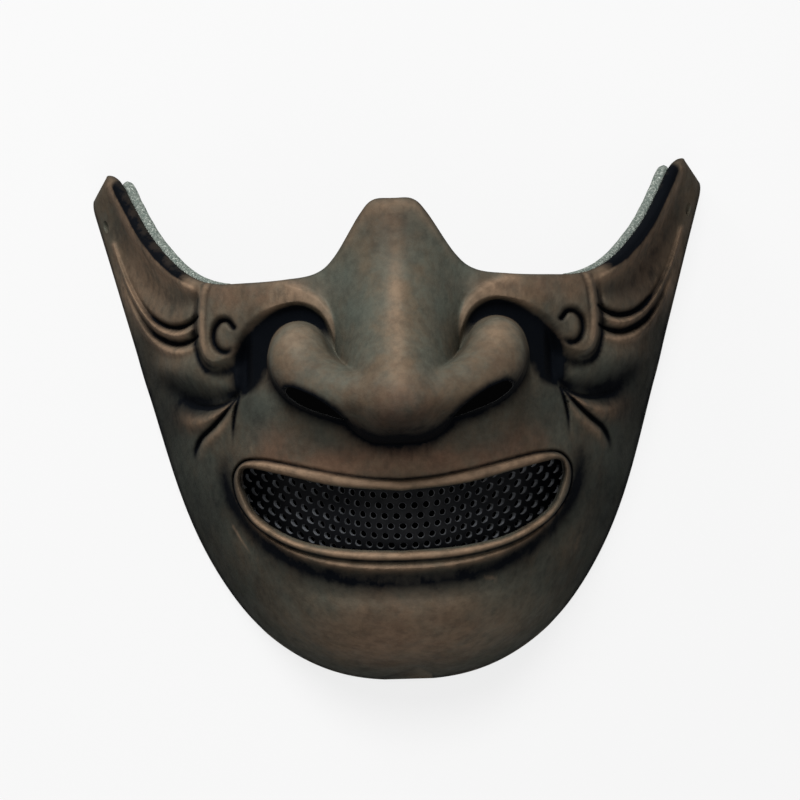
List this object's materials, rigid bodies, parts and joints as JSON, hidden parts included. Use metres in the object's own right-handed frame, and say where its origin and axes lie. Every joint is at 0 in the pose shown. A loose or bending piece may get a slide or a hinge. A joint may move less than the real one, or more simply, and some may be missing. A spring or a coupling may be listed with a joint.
{
  "type": "samurai face guard",
  "caption": "Half-face armour mask with a broad nose, scrolled cheeks, horn-shaped side wings, a grinning mesh-backed mouth and foam pads inside the wings.",
  "frame": {"origin": "centre of the bounding box in plan, on the plane of the flat rear rim that the mask lies on", "axes": "+X to the right of the mask as it is looked at, +Y from the chin toward the nose bridge along the rear rim, +Z out of the rear rim plane toward the nose; worn forward lies 21.2 degrees from +Z toward -Y"},
  "size_m": [0.1952, 0.1616, 0.1101],
  "materials": {
    "painted_resin": "cast resin painted warm brown, blue-black and grey-green wash in the recesses, rubbed tan on the ridges, satin",
    "black_sheet": "thin perforated sheet, satin black",
    "grey_foam": "speckled grey-green open-cell foam, matt"
  },
  "bodies": {
    "root": {"mask_shell": "painted_resin", "mouth_mesh": "black_sheet", "lining_left": "grey_foam", "lining_right": "grey_foam"}
  },
  "joints": []
}
